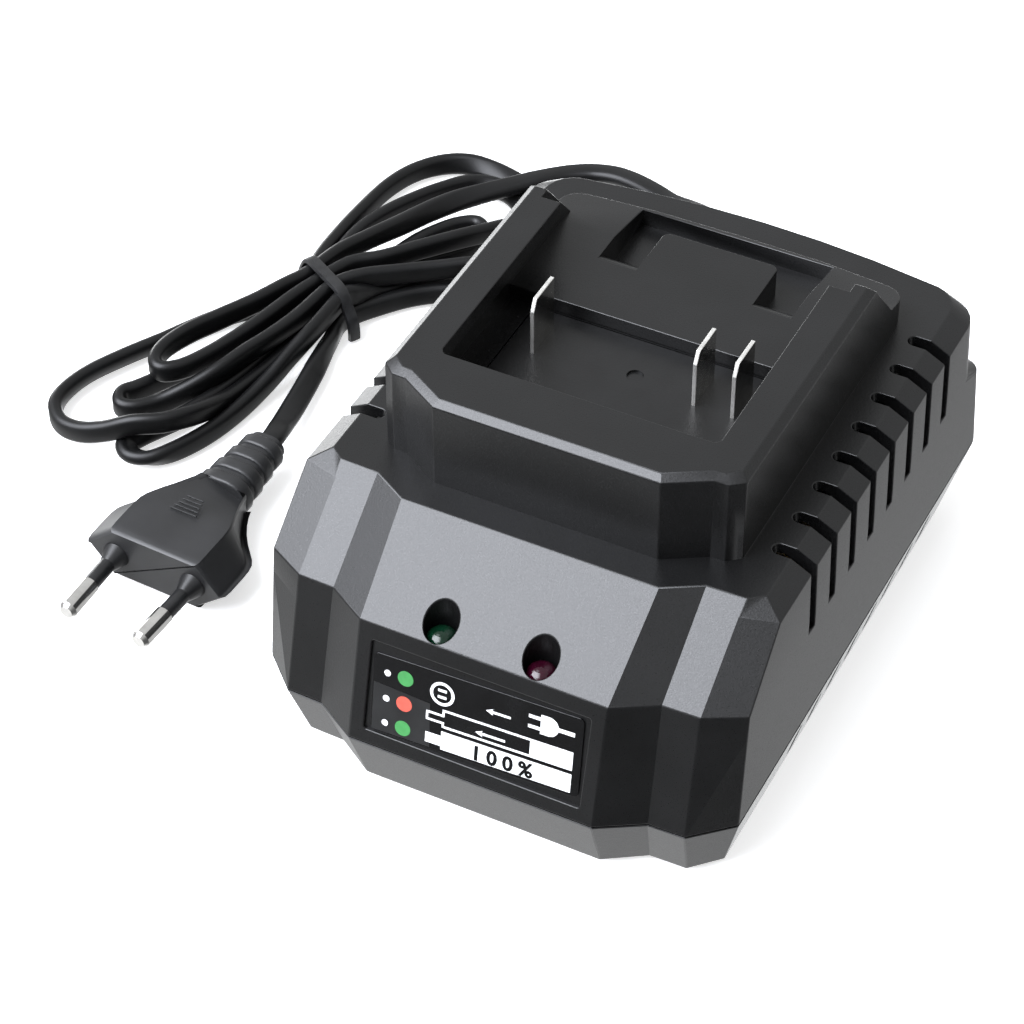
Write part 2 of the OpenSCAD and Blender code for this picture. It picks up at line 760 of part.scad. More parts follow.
clamp_z = gland_z + lead_t / 2;
module at_clamp_posts() {
    for (x = [-7.5, 7.5]) translate([gland_x + x, 124, 0]) children();
}
module clamp_posts() {
    at_clamp_posts() translate([0, 0, foot_h + 1]) cylinder(r = 2.6, h = clamp_z - foot_h - 1);
    translate([gland_x - 5, 122, foot_h + 1]) cube([10, 4, gland_z - lead_t / 2 - foot_h - 1]);
}
module cord_clamp() {
    color(grey) place() difference() {
        translate([gland_x - 10.5, 121, clamp_z]) cube([21, 6, 2.6]);
        at_clamp_posts() translate([0, 0, clamp_z - 1]) cylinder(r = 1.2, h = 6);
    }
}
module clamp_screws() {
    color(nickel) place() at_clamp_posts() translate([0, 0, clamp_z + 4])
        mirror([0, 0, 1]) screw(0.95, 8.6, 2.2, 1.4);
}

// Sheathed end of the lead in the clamp, grommet through both shells, then a ribbed taper
rib_count = 6;
sheath_y = 117;
grommet_y = 128.7;
collar_y = body_d - 0.12;
collar_t = 2.2;

module strain_relief() {
    flange_r = 6;
    flange_t = 1.5;
    root = 5.4;
    tip = 3.7;
    first_rib = collar_y + collar_t;
    pitch = (body_d + relief_len - first_rib) / rib_count;
    color(black) place() translate([gland_x, 0, gland_z]) rotate([-90, 0, 0]) {
        translate([0, 0, sheath_y]) oval(lead_w / 2, lead_t / 2, grommet_y - sheath_y + eps);
        translate([0, 0, grommet_y]) cylinder(r = flange_r, h = flange_t);
        translate([0, 0, grommet_y]) cylinder(r = gland_r - 0.1, h = collar_y - grommet_y + eps);
        translate([0, 0, collar_y]) cylinder(r = root + 1, h = collar_t);
        for (i = [0:rib_count - 1]) {
            r = mix(root, tip, i / (rib_count - 1));
            translate([0, 0, first_rib + i * pitch - eps]) cylinder(r = r, h = pitch * 0.62);
            translate([0, 0, first_rib + i * pitch - eps]) cylinder(r = r - 0.7, h = pitch + eps);
        }
    }
}

// Lead from the strain relief to the hank, and from the hank to the plug, in the row's own frame
lead_route = [
    [-28, 96.5, 16.1], [-28, 100.6, 16.1], [-28.8, 105.6, 15.6], [-31.2, 110.2, 14.2], [-35, 114, 12.2],
    [-39.6, 117, 10], [-44.8, 119.4, 8.2], [-50, 122, 7.4], [-55.8, 124.2, 6.8], [-61.6, 125.4, 6.2],
    [-67, 124.8, 5.6], [-71.4, 122.6, 5.4], [-74.6, 120, 5.4], [-76.4, 118, 5.6]
];
tail_route = [
    [-92.4, 36, 3.4], [-91.9, 32.6, 3.2], [-91.1, 27, 3], [-90.1, 21, 3.4], [-88.9, 15.6, 4.6],
    [-87.8, 11.4, 6], [-87.2, 8.4, 6.7], [-87.06, 5.98, 6.85]
];

module cord_lead() {
    color(black) tube(curve(lead_route, 2), lead_w / 2, 10, [0, 0, 1]);
}
module cord_tail() {
    color(black) tube(curve(tail_route, 2), lead_w / 2, 10, [0, 0, 1]);
}

// Hank of the folded lead: two rounded lobes that meet in the waist under the tie.
// The rear lobe has a flat side across the lead, and a stub points along the tail.
tie_at = [-101, 57];
tie_angle = 60;
waist_w = 22;
waist_len = 4;
hank_h = 11;
rear_lobe = [[-98.5, 106.5, 14.5], [-83.8, 116.6, 6], [-75.8, 110.6, 6], [-73, 96.5, 15.4]];
front_lobe = [[-129.6, 4, 11.2], [-111.5, 1.5, 10]];

// One lobe, from its end of the waist (side -1 or 1) round its circles
module lobe(circles, side) {
    hull() {
        for (c = circles) translate([c[0], c[1]]) circle(r = c[2], $fn = 32);
        at_waist() translate([side * waist_len / 2, 0]) square([eps, waist_w], center = true);
    }
}
module at_waist() {
    translate(tie_at) rotate(tie_angle) children();
}
module cord_hank() {
    stub = tail_route[0];
    color(black) linear_extrude(hank_h) {
        lobe(rear_lobe, 1);
        lobe(front_lobe, -1);
        at_waist() square([waist_len, waist_w], center = true);
        translate([stub[0] - lead_w / 2, stub[1]]) square([lead_w, 10]);
    }
}

// Tie: a band round the waist of the hank
module cord_tie() {
    band = 1.6;
    length = 3;
    color(grey) at_waist() difference() {
        translate([-length / 2, -waist_w / 2 - band, 0]) cube([length, waist_w + 2 * band, hank_h + band]);
        translate([-length, -waist_w / 2, -1]) cube([2 * length, waist_w, hank_h + 1]);
    }
}

// ---- plug --------------------------------------------------------------------------------
plug_at = [-88.6, -38, 6.85];
plug_turn = -2;
plug_half_w = 17.65;
plug_half_t = 6.75;
crown = 0.1;
grip_count = 5;
grip_y = 11.8;
grip_pitch = 1.15;
grip_size = [0.35, 0.12];
plug_len = 25;
pin_gap = 18.6;
pin_gap_tip = 17.5;
sleeve_len = 10;
sleeve_r = 1.75;
sleeve_bore = 1.25;
pin_lean = atan((pin_gap - pin_gap_tip) / 2 / pin_len);

// Moves to the middle of the plug's face, pins pointing along -y
module at_plug() {
    translate(plug_at) rotate(plug_turn) children();
}

// Hexagonal section of the plug: half width, half width of its flats, half thickness
function plug_ring(s) =
    [[s[1], -s[2]], [s[0], 0], [s[1], s[2]], [0, s[2] + crown], [-s[1], s[2]], [-s[0], 0], [-s[1], -s[2]]];
module plug_body() {
    stations = [[16.9, 10.4, 6.3], [plug_half_w, 10.8, plug_half_t], [plug_half_w, 10.6, plug_half_t],
                [15.6, 9.8, 6.6], [9.4, 7, 5.6], [7.6, 5.6, 5]];
    y = [0, 0.8, 11.5, 14.5, 22, plug_len];
    color(black) at_plug() {
        difference() {
            rotate([-90, 0, 0]) loft([for (s = stations) plug_ring(s)], y);
            both_pins() translate([0, 0, -8]) cylinder(r = sleeve_r, h = 9);
        }
        plug_relief();
        plug_grips();
    }
}

// Fine ridges on the flats, shorter towards the lead
module plug_grips() {
    for (side = [0, 1]) mirror([0, 0, side]) for (i = [0:grip_count - 1]) {
        width = 6.3 - i * 0.58;
        translate([-width / 2, grip_y + i * grip_pitch, plug_half_t - 0.6])
            cube([width, grip_size[0], 0.6 + grip_size[1] - i * 0.03]);
    }
}

// Ribbed strain relief behind the plug
module plug_relief() {
    ribs = 4;
    pitch = 4.75;
    for (i = [0:ribs - 1]) {
        translate([0, plug_len + i * pitch, 0]) rotate([-90, 0, 0]) {
            translate([0, 0, -eps]) oval(6.6 - i * 0.5, 4.9 - i * 0.35, pitch * 0.68);
            translate([0, 0, -eps]) oval(5.6 - i * 0.5, 4.1 - i * 0.35, pitch + eps);
        }
    }
}

// Cylinder of an oblong section: half width a, half thickness b
module oval(a, b, h) {
    translate([b - a, -b, 0]) cube([2 * (a - b), 2 * b, h]);
    for (x = [-1, 1]) translate([x * (a - b), 0, 0]) cylinder(r = b, h = h);
}

// Draws at each pin's root, with z along the pin; the pins lean together
module both_pins() {
    both_sides() translate([pin_gap / 2, 0, 0]) rotate([90, 0, 0]) rotate([0, -pin_lean, 0]) children();
}

module plug_pins() {
    tip = 0.9;
    color(nickel) at_plug() both_pins() {
        translate([0, 0, -7]) cylinder(r = sleeve_bore, h = 7 + sleeve_len + eps);
        translate([0, 0, sleeve_len]) cylinder(d = pin_d, h = pin_len - sleeve_len - tip);
        translate([0, 0, pin_len - tip]) cylinder(r1 = pin_d / 2, r2 = pin_d / 2 - tip * 0.7, h = tip);
    }
}
module plug_pin_sleeves() {
    color(black) at_plug() both_pins() difference() {
        union() {
            translate([0, 0, -7]) cylinder(r = sleeve_r, h = 7 + sleeve_len);
            translate([0, 0, 0.1]) cylinder(r1 = 3, r2 = sleeve_r, h = 3.4);
        }
        translate([0, 0, -8]) cylinder(r = sleeve_bore, h = 9 + sleeve_len);
    }
}

lower_shell();
upper_shell();
terminal_plate();
terminal_positive();
terminal_signal();
terminal_negative();
status_label();
green_led();
red_led();
indicator_board();
main_board();
transformer_core();
transformer_winding();
bulk_capacitor();
output_capacitors();
filter_choke();
mains_fuse();
control_chip();
switch_heat_sink();
switching_transistor();
output_heat_sink();
output_rectifier();
wire_connector();
mains_wires();
blade_wires();
board_screws();
housing_screws();
rubber_feet();
cord_clamp();
clamp_screws();
strain_relief();
cord_lead();
cord_hank();
cord_tie();
cord_tail();
plug_body();
plug_pin_sleeves();
plug_pins();
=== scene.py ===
"""Slide-on battery charger: the looks of the part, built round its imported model.

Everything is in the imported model's own frame. Sizes below are in millimetres, and metres() turns them
into Blender's metres.
"""
import math

import bmesh
import bpy
from mathutils import Matrix, Vector, geometry
from mathutils.bvhtree import BVHTree


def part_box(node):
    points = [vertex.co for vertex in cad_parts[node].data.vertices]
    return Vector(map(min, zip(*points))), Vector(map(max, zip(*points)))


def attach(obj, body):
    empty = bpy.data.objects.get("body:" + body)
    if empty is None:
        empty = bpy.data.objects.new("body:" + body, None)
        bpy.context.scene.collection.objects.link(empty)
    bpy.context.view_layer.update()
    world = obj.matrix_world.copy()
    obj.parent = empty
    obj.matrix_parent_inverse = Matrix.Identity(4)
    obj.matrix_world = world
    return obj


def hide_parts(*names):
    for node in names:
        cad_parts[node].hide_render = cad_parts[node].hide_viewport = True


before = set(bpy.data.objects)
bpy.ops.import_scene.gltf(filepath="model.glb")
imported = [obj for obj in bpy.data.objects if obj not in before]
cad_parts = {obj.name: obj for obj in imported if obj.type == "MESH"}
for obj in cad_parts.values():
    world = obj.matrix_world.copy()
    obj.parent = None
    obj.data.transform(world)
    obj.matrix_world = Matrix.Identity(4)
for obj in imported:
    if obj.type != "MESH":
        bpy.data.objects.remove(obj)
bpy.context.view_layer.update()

MM = 0.001
BODY = "root"


def metres(p):
    return Vector(p[:3]) * MM


# ---- camera ---------------------------------------------------------------------------------------
CAMERA_AT = (200.0, -441.3, 479.7)
CAMERA_AZIMUTH = 27.07
CAMERA_ELEVATION = 42.98
CAMERA_ROLL = -0.21
FOCAL_LENGTH = 116.76
SENSOR = 36.0


def make_camera():
    data = bpy.data.cameras.new("camera")
    data.lens = FOCAL_LENGTH
    data.sensor_width = SENSOR
    data.clip_start = 0.01
    data.clip_end = 20
    camera = bpy.data.objects.new("camera", data)
    turn = Matrix.Rotation(math.radians(CAMERA_AZIMUTH), 4, "Z")
    tilt = Matrix.Rotation(math.radians(90 - CAMERA_ELEVATION), 4, "X")
    roll = Matrix.Rotation(math.radians(CAMERA_ROLL), 4, "Z")
    camera.matrix_world = Matrix.Translation(metres(CAMERA_AT)) @ turn @ tilt @ roll
    bpy.context.scene.collection.objects.link(camera)
    bpy.context.scene.camera = camera


# ---- mesh tools -----------------------------------------------------------------------------------
def add_object(name, mesh, material, replaced=()):
    """Links a finished mesh as a piece of the object that rides on the one body."""
    piece = bpy.data.objects.new(name, mesh)
    bpy.context.scene.collection.objects.link(piece)
    if material is not None:
        mesh.materials.clear()
        mesh.materials.append(material)
    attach(piece, BODY)
    if replaced:
        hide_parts(*replaced)
    return piece


def mesh_from(name, verts, faces, smooth=True, sharp_deg=None):
    mesh = bpy.data.meshes.new(name)
    mesh.from_pydata([tuple(v) for v in verts], [], faces)
    mesh.validate()
    solid = bmesh.new()
    solid.from_mesh(mesh)
    bmesh.ops.recalc_face_normals(solid, faces=solid.faces)
    solid.to_mesh(mesh)
    solid.free()
    mesh.polygons.foreach_set("use_smooth", [smooth] * len(mesh.polygons))
    if sharp_deg is not None:
        mesh.set_sharp_from_angle(angle=math.radians(sharp_deg))
    return mesh


def ring_faces(ring_count, ring_size):
    """Faces of a closed tube through rings of equal size, with a fan at each end."""
    faces = []
    for i in range(ring_count - 1):
        for k in range(ring_size):
            a = i * ring_size + k
            b = i * ring_size + (k + 1) % ring_size
            faces.append((a, b, b + ring_size, a + ring_size))
    faces.append(tuple(range(ring_size - 1, -1, -1)))
    faces.append(tuple((ring_count - 1) * ring_size + k for k in range(ring_size)))
    return faces


def smooth_curve(points, steps):
    """Catmull-Rom curve through points of any dimension."""
    last = len(points) - 1
    out = []
    for i in range(last):
        a, b, c, d = (points[max(i - 1, 0)], points[i], points[i + 1], points[min(i + 2, last)])
        for k in range(steps):
            t = k / steps
            out.append([
                0.5 * (2 * q + (r - p) * t + (2 * p - 5 * q + 4 * r - s) * t * t
                       + (3 * q - p - 3 * r + s) * t ** 3)
                for p, q, r, s in zip(a, b, c, d)
            ])
    out.append(list(points[-1]))
    return out


# ---- materials ------------------------------------------------------------------------------------
# Bumps are listed as (cell size in mm, height in mm, strength)
FINE_GRAIN = ((0.4, 0.03, 0.4),)
SHELL_GRAIN = ((0.45, 0.03, 0.7), (0.2, 0.01, 0.4))
PRINT_GRAIN = ((0.3, 0.004, 0.2),)
FILM_GRAIN = ((3.0, 0.01, 0.1),)
LENS_GRAIN = ((1.5, 0.01, 0.1),)


def shader_material(name, colour, roughness, **values):
    """Principled material with its uniform values on the shader's own sockets."""
    material = bpy.data.materials.new(name)
    material.use_nodes = True
    shader = material.node_tree.nodes["Principled BSDF"]
    shader.inputs["Base Color"].default_value = (*colour, 1)
    shader.inputs["Roughness"].default_value = roughness
    for key, value in values.items():
        shader.inputs[key.replace("_", " ")].default_value = value
    return material


def node_of(material, kind, **values):
    node = material.node_tree.nodes.new(kind)
    for key, value in values.items():
        socket = key.replace("_", " ")
        if socket in node.inputs:
            node.inputs[socket].default_value = value
        else:
            setattr(node, key, value)
    return node


def link(material, start, end):
    material.node_tree.links.new(start, end)


def object_noise(material, size_mm, detail=2.0):
    """Noise whose cells are about size_mm across, fixed to the piece."""
    place = node_of(material, "ShaderNodeTexCoord")
    noise = node_of(material, "ShaderNodeTexNoise", Scale=1 / (size_mm * MM), Detail=detail)
    link(material, place.outputs["Object"], noise.inputs["Vector"])
    return noise


def remap(material, value, low, high, from_low=0.3, from_high=0.7):
    span = node_of(material, "ShaderNodeMapRange")
    span.inputs["From Min"].default_value = from_low
    span.inputs["From Max"].default_value = from_high
    span.inputs["To Min"].default_value = low
    span.inputs["To Max"].default_value = high
    link(material, value, span.inputs["Value"])
    return span.outputs["Result"]


def add_bumps(material, bumps):
    """Chains bumps into the shader's normal."""
    shader = material.node_tree.nodes["Principled BSDF"]
    last = None
    for size, height, strength in bumps:
        noise = object_noise(material, size)
        bump = node_of(material, "ShaderNodeBump", Strength=strength, Distance=height * MM)
        link(material, noise.outputs["Fac"], bump.inputs["Height"])
        if last is not None:
            link(material, last.outputs["Normal"], bump.inputs["Normal"])
        last = bump
    link(material, last.outputs["Normal"], shader.inputs["Normal"])


def vary_roughness(material, size_mm, low, high):
    shader = material.node_tree.nodes["Principled BSDF"]
    noise = object_noise(material, size_mm, detail=4)
    link(material, remap(material, noise.outputs["Fac"], low, high), shader.inputs["Roughness"])


def vary_colour(material, size_mm, dark, light):
    shader = material.node_tree.nodes["Principled BSDF"]
    noise = object_noise(material, size_mm, detail=4)
    ramp = node_of(material, "ShaderNodeValToRGB")
    ramp.color_ramp.elements[0].position = 0.35
    ramp.color_ramp.elements[0].color = (*dark, 1)
    ramp.color_ramp.elements[1].position = 0.65
    ramp.color_ramp.elements[1].color = (*light, 1)
    link(material, noise.outputs["Fac"], ramp.inputs["Fac"])
    link(material, ramp.outputs["Color"], shader.inputs["Base Color"])


def roughen_edges(material, flat, edge):
    """Polished flat sides, facing along x, with rougher cut edges round them."""
    shader = material.node_tree.nodes["Principled BSDF"]
    place = node_of(material, "ShaderNodeTexCoord")
    parts = node_of(material, "ShaderNodeSeparateXYZ")
    size = node_of(material, "ShaderNodeMath", operation="ABSOLUTE")
    link(material, place.outputs["Normal"], parts.inputs["Vector"])
    link(material, parts.outputs["X"], size.inputs[0])
    link(material, remap(material, size.outputs["Value"], edge, flat, 0.5, 0.95), shader.inputs["Roughness"])


def textured(name, dark, light, rough, colour_mm=6.0, bumps=FINE_GRAIN, gloss_mm=None, **values):
    """Material with mottled colour, uneven roughness in cells of gloss_mm, and bumps."""
    material = shader_material(name, light, sum(rough) / 2, **values)
    vary_colour(material, colour_mm, dark, light)
    vary_roughness(material, gloss_mm or colour_mm * 1.7, *rough)
    add_bumps(material, bumps)
    return material


def grey(v, blue=1.05):
    return (v, v * 1.01, v * blue)


def make_materials():
    m = {}
    m["shell_plastic"] = textured("black_abs", grey(0.0035), grey(0.005), (0.26, 0.40), 14, SHELL_GRAIN, 0.2)
    m["terminal_block"] = textured("terminal_abs", grey(0.004), grey(0.006), (0.30, 0.36), 9, SHELL_GRAIN)
    m["blade_nickel"] = textured("nickel_plate", (0.62, 0.61, 0.58), (0.78, 0.77, 0.74), (0.14, 0.26), 2.5,
                                 ((0.25, 0.004, 0.4), (2.0, 0.01, 0.2)), Metallic=1.0)
    roughen_edges(m["blade_nickel"], 0.2, 0.6)
    m["label_film"] = textured("label_film", (0.001, 0.001, 0.0012), (0.002, 0.002, 0.0024), (0.18, 0.28), 5,
                               FILM_GRAIN)
    # Dark grey of the label's lower left: a painted reflection of the studio on the black film, not a print
    m["label_charcoal"] = textured("label_charcoal", grey(0.009), grey(0.013), (0.3, 0.4), 6, FILM_GRAIN)
    m["label_white"] = textured("label_white", (0.80, 0.81, 0.82), (0.86, 0.87, 0.88), (0.3, 0.42), 2,
                                PRINT_GRAIN)
    m["label_green"] = textured("label_green", (0.034, 0.195, 0.05), (0.040, 0.225, 0.058), (0.3, 0.42), 1,
                                PRINT_GRAIN)
    m["label_red"] = textured("label_red", (0.45, 0.062, 0.038), (0.51, 0.072, 0.046), (0.3, 0.42), 1,
                              PRINT_GRAIN)
    m["green_lens"] = textured("green_lens", (0.001, 0.014, 0.006), (0.002, 0.026, 0.011), (0.06, 0.12), 1.5,
                               LENS_GRAIN, Transmission_Weight=0.35)
    m["red_lens"] = textured("red_lens", (0.02, 0.001, 0.006), (0.036, 0.0015, 0.011), (0.06, 0.12), 1.5,
                             LENS_GRAIN, Transmission_Weight=0.35)
    m["circuit_board"] = textured("circuit_board", (0.32, 0.20, 0.07), (0.42, 0.28, 0.11), (0.4, 0.55), 3)
    m["ferrite"] = textured("ferrite", grey(0.02), grey(0.035), (0.45, 0.6), 2)
    m["winding_tape"] = textured("winding_tape", (0.6, 0.42, 0.05), (0.75, 0.55, 0.09), (0.2, 0.35), 4)
    m["capacitor_sleeve"] = textured("capacitor_sleeve", (0.008, 0.012, 0.05), (0.014, 0.02, 0.08),
                                     (0.15, 0.28), 3)
    m["copper_winding"] = textured("copper_winding", (0.32, 0.10, 0.03), (0.5, 0.19, 0.07), (0.25, 0.4), 1,
                                   Metallic=0.8)
    m["fuse_metal"] = textured("fuse_metal", (0.5, 0.5, 0.48), (0.72, 0.72, 0.7), (0.2, 0.35), 2,
                               Metallic=1.0)
    m["component_black"] = textured("component_black", grey(0.014), grey(0.024), (0.45, 0.6), 2)
    m["heat_sink_metal"] = textured("heat_sink", (0.45, 0.46, 0.48), (0.6, 0.61, 0.63), (0.3, 0.45), 3,
                                    Metallic=1.0)
    m["connector_plastic"] = textured("connector_plastic", (0.7, 0.69, 0.64), (0.8, 0.79, 0.74),
                                      (0.35, 0.5), 2)
    m["wire_brown"] = textured("wire_brown", (0.10, 0.035, 0.012), (0.15, 0.055, 0.02), (0.3, 0.45), 2)
    m["wire_red"] = textured("wire_red", (0.35, 0.012, 0.012), (0.5, 0.02, 0.02), (0.3, 0.45), 2)
    m["screw_steel"] = textured("screw_steel", (0.4, 0.4, 0.39), (0.6, 0.6, 0.58), (0.25, 0.4), 1,
                                Metallic=1.0)
    m["foot_rubber"] = textured("foot_rubber", grey(0.012), grey(0.022), (0.6, 0.8), 2, ((0.3, 0.03, 0.5),))
    m["cord_pvc"] = textured("cord_pvc", grey(0.003), grey(0.005), (0.34, 0.42), 11,
                             ((0.35, 0.008, 0.35), (7.0, 0.05, 0.2)), Specular_IOR_Level=0.3)
    m["tie_plastic"] = textured("tie_pvc", grey(0.008), grey(0.014), (0.25, 0.4), 2, ((0.3, 0.01, 0.4),))
    m["plug_pvc"] = textured("plug_pvc", grey(0.012), grey(0.018), (0.38, 0.5), 9, ((0.25, 0.012, 0.45),))
    m["sleeve_plastic"] = textured("sleeve_plastic", grey(0.008), grey(0.013), (0.28, 0.38), 4,
                                   ((0.25, 0.008, 0.3),))
    m["pin_metal"] = textured("pin_nickel", (0.68, 0.67, 0.65), (0.8, 0.79, 0.77), (0.08, 0.16), 3,
                              ((0.3, 0.003, 0.3),), Metallic=1.0)
    return m


# ---- cord -----------------------------------------------------------------------------------------
# Listed points: x, y, z and the tilt of the flat section, 0 lying flat and 90 on edge
LEAD_W = 5.2
LEAD_T = 3.2
LEAD_WAIST = 0.12
LEAD = [
    (-28, 96.5, 16.1, 0), (-28, 100.6, 16.1, 0), (-28.8, 105.6, 15.6, 0), (-31.2, 110.2, 14.2, 0),
    (-35, 114, 12.2, 0), (-39.6, 117, 10, 0), (-44.8, 119.4, 8.2, 0), (-50, 122, 7.4, 0),
    (-55.8, 124.2, 6.8, 0), (-61.6, 125.4, 6.2, 0), (-67, 124.8, 5.6, 0), (-71.4, 122.6, 5.4, 0),
    (-74.6, 120, 5.4, 0), (-76.4, 118, 5.6, 0),
]
HANK = [
    # from the lead on to the tie
    (-78.8, 115.2, 5.8, 0), (-81.6, 111.8, 5.8, 5), (-84.8, 108, 5.9, 10), (-88, 104, 6, 20),
    (-91.2, 99.4, 6.2, 40), (-94.4, 93.2, 6.5, 60), (-97.6, 85, 7.1, 75), (-101, 77, 7.7, 85),
    (-104.5, 68, 8.2, 90), (-106.6, 58.3, 8.2, 90),
    # first front loop
    (-109.5, 52, 8.1, 90), (-112.5, 45, 8, 90), (-117, 36, 8, 80), (-120.5, 29, 8, 80), (-122.5, 22, 8, 90),
    (-121.8, 17, 8, 90), (-119, 15.2, 8, 90), (-115.5, 18, 8, 90), (-112.5, 24, 8, 90), (-109.8, 32, 8, 90),
    (-107.5, 41, 8, 90), (-105.5, 50, 8.1, 90), (-103.2, 57.1, 8.2, 90),
    # first rear loop
    (-100, 65.5, 8.2, 90), (-94.5, 71, 8.1, 90), (-88.5, 78.5, 8, 90), (-82.5, 86, 7.8, 90),
    (-77.5, 94, 6.4, 80), (-75, 102, 4, 60), (-77.5, 108.5, 2.6, 40), (-83, 112.5, 2.2, 20),
    (-89, 112.8, 2.3, 40), (-94, 110, 2.7, 80), (-98.5, 104.5, 2.7, 90), (-102, 98.5, 2.7, 90),
    (-105, 92, 2.7, 90), (-107.5, 83, 2.7, 90), (-107.3, 71, 2.7, 90), (-104.6, 57.6, 2.7, 90),
    # second front loop
    (-108, 46, 2.7, 90), (-113, 34, 2.7, 90), (-118.5, 23, 2.7, 90), (-123.5, 13.5, 2.7, 90),
    (-126, 9.5, 2.7, 90), (-124.5, 6.2, 2.7, 90), (-121, 6.8, 2.7, 90), (-117, 11, 2.9, 90),
    (-112.1, 15.8, 5.2, 90), (-108.3, 21.2, 7.2, 90), (-105.9, 27.9, 8, 90), (-103.5, 35.5, 8, 90),
    (-101.5, 44, 8, 90), (-99.4, 55.7, 8.6, 90),
    # widest rear loop
    (-95.5, 61.5, 9, 90), (-89, 67.5, 8.4, 90), (-81.5, 73.5, 8, 90), (-74, 79, 8, 90),
    (-66.5, 83, 7.6, 90), (-61, 88, 6, 90), (-59, 95, 4, 80), (-61.5, 102.5, 2.9, 60),
    (-67.5, 109, 2.4, 40), (-75, 114.2, 2.2, 20), (-83.5, 117.3, 2, 10), (-90.5, 118.4, 2.3, 30),
    (-97, 117.8, 2.7, 60), (-102.5, 114.8, 2.7, 80), (-107, 109, 2.7, 90), (-109.6, 101, 2.7, 90),
    (-110.6, 91, 2.7, 90), (-111, 80, 2.7, 90), (-110.5, 69, 2.7, 90), (-107.7, 58.8, 2.7, 90),
    # widest front loop
    (-111.5, 51.5, 2.7, 90), (-117.5, 46, 2.7, 90), (-123, 38, 2.7, 100), (-128, 29, 2.7, 110),
    (-132.5, 21, 2.7, 110), (-136.5, 12.5, 2.7, 110), (-138, 5, 2.7, 100), (-137, -0.5, 2.7, 90),
    (-133, -4.5, 2.7, 90), (-127.5, -5.5, 3.4, 90), (-121.5, -4.5, 5.2, 90), (-115.5, -2.5, 7.8, 90),
    (-110, 0.5, 8.2, 90), (-106, 5.5, 7.8, 90), (-104.5, 11.5, 6, 90), (-103.8, 18, 3.8, 90),
    (-103, 25, 2.8, 90), (-101.8, 32, 2.7, 90), (-101, 40, 2.7, 90), (-100, 48, 2.7, 90),
    (-98.4, 55.4, 2.7, 90),
    # second rear loop
    (-95.5, 64, 2.7, 90), (-92.5, 72, 2.7, 90), (-89, 79, 2.7, 90), (-84.5, 84.5, 2.7, 90),
    (-81, 89.5, 2.7, 90), (-80.5, 94.5, 2.7, 90), (-84, 97.8, 2.7, 90), (-87.8, 95.8, 2.7, 90),
    (-90.8, 91.7, 2.7, 90), (-93.6, 86, 2.7, 90), (-95.5, 79.5, 2.7, 90), (-98, 70, 2.7, 90),
    (-101.5, 56.5, 2.7, 90),
    # third front loop
    (-103.2, 46, 2.7, 90), (-104.5, 36, 2.7, 90), (-106, 26, 2.7, 90), (-108, 17, 2.7, 90),
    (-111, 8.5, 2.7, 90), (-115, 1.5, 2.7, 60), (-117, -3, 2.3, 30), (-114.5, -5.8, 2.3, 30),
    (-110.5, -5.2, 2.4, 45), (-107, -2, 2.7, 80), (-104, 4, 2.7, 90), (-101.8, 11, 2.7, 90),
    (-100.3, 19, 2.9, 90), (-98.9, 27, 4.2, 90), (-97.8, 34, 6, 90), (-96.4, 42, 7.8, 90),
    (-95.9, 54.4, 8.2, 90),
    # last rear loop
    (-94.7, 58, 7.2, 90), (-93.2, 61.4, 5.4, 90), (-91.4, 65.4, 3.4, 90), (-87, 72.5, 2.7, 90),
    (-81.5, 78, 2.7, 90),
    (-74.5, 82.5, 2.7, 90), (-68.5, 84.5, 2.7, 90), (-65, 82, 2.7, 90), (-66.5, 78.5, 2.7, 90),
    (-72, 76.2, 2.7, 90), (-78, 73.5, 2.7, 90), (-84, 69.5, 2.7, 90), (-89.5, 63.5, 2.7, 90),
    (-95.3, 54.2, 2.7, 90), (-94.4, 46, 2.7, 90),
]
TAIL = [
    (-92.4, 36, 3.4, 50), (-91.9, 32.6, 3.2, 45), (-91.1, 27, 3, 35), (-90.1, 21, 3.4, 25),
    (-88.9, 15.6, 4.6, 15), (-87.8, 11.4, 6, 5), (-87.2, 8.4, 6.7, 0), (-87.06, 5.98, 6.85, 0),
]
CORD_STEPS = 5


def lead_section():
    """Flat two-core section: two round ends and a slight waist between the cores."""
    r = LEAD_T / 2
    flat = (LEAD_W - LEAD_T) / 2
    turns = [math.radians(a) for a in range(-75, 76, 25)]
    right = [(flat + r * math.cos(a), r * math.sin(a)) for a in turns]
    top = [(0, r - LEAD_WAIST)]
    left = [(-x, -y) for x, y in right]
    return right + top + left + [(0, LEAD_WAIST - r)]


def make_cord(material):
    route = smooth_curve(LEAD + HANK + TAIL, CORD_STEPS)
    centres = [Vector(p[:3]) for p in route]
    section = lead_section()
    verts = []
    for i, centre in enumerate(centres):
        along = (centres[min(i + 1, len(centres) - 1)] - centres[max(i - 1, 0)]).normalized()
        side = along.cross(Vector((0, 0, 1))).normalized()
        up = side.cross(along)
        tilt = math.radians(route[i][3])
        wide = side * math.cos(tilt) + up * math.sin(tilt)
        thin = along.cross(wide)
        verts += [metres(centre + wide * a + thin * b) for a, b in section]
    mesh = mesh_from("mains_lead", verts, ring_faces(len(centres), len(section)), sharp_deg=60)
    piece = add_object("mains_lead", mesh, material, ("cord_lead", "cord_hank", "cord_tail"))
    return piece, [tuple(metres(c)) for c in centres]


# ---- rounded copies of CAD nodes ------------------------------------------------------------------
ROUNDING_STEPS = 3
ROUNDING_TRIES = 6
MERGE_DISTANCE = 1e-6
FLAT_TO = 0.6
# Turns in degrees: of an edge that is rounded, and of one between two facets of the front
ROUNDED_FROM = 25.0
FACET_FROM = 7.0
